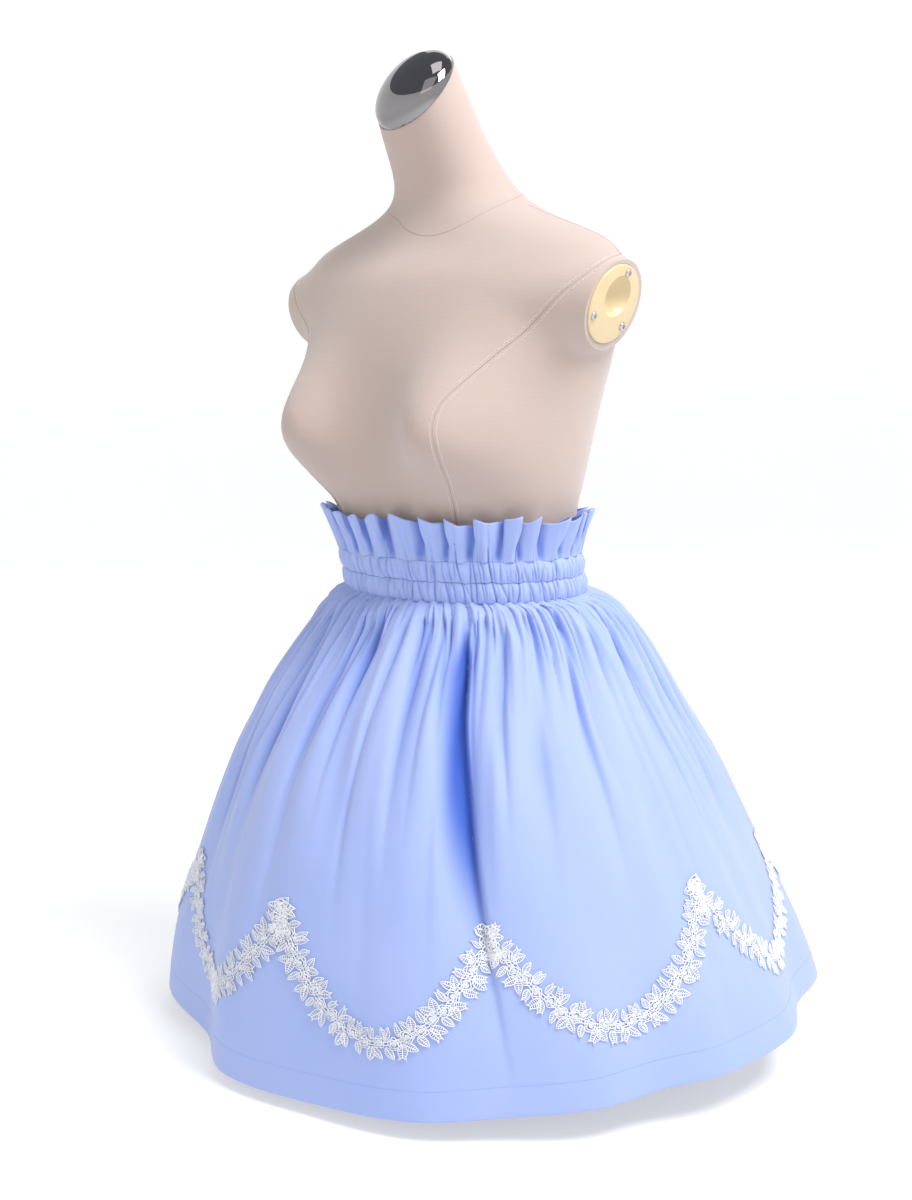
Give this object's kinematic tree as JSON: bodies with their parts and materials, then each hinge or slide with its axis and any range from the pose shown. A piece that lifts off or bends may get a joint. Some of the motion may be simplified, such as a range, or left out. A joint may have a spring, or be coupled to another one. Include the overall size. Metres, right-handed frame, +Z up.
{
  "type": "gathered skirt on limbless dress form",
  "caption": "Light blue gathered skirt with a double elastic casing, a standing frill and scalloped white lace, worn by a limbless dress form on a round base.",
  "frame": {"origin": "middle of the whole part's box, on the floor under the stand's base", "axes": "+Z up, -Y towards the front of the garment, +X towards the wearer's left side"},
  "size_m": [0.6556, 0.6112, 0.9217],
  "materials": {
    "cloth": "smooth matt cotton with a slight sheen",
    "lace": "matt corded white lace",
    "form_cover": "matt fine knit cover",
    "chrome_cap": "mirror bright",
    "cream_plastic": "semi-gloss",
    "screw_steel": "bright zinc",
    "stand_metal": "satin light grey"
  },
  "bodies": {
    "root": {"skirt_front": "cloth", "skirt_back": "cloth", "casing_lower": "cloth", "casing_upper": "cloth", "frill": "cloth", "lace_01": "lace", "lace_02": "lace", "lace_03": "lace", "lace_04": "lace", "lace_05": "lace", "lace_06": "lace", "lace_07": "lace", "lace_08": "lace", "lace_09": "lace", "form_torso": "form_cover", "form_neck_cap": "chrome_cap", "form_arm_plate_left": "cream_plastic", "form_arm_plate_right": "cream_plastic", "form_screw_left_1": "screw_steel", "form_screw_left_2": "screw_steel", "form_screw_left_3": "screw_steel", "form_screw_right_1": "screw_steel", "form_screw_right_2": "screw_steel", "form_screw_right_3": "screw_steel", "form_post": "stand_metal", "form_base": "stand_metal"}
  },
  "joints": []
}
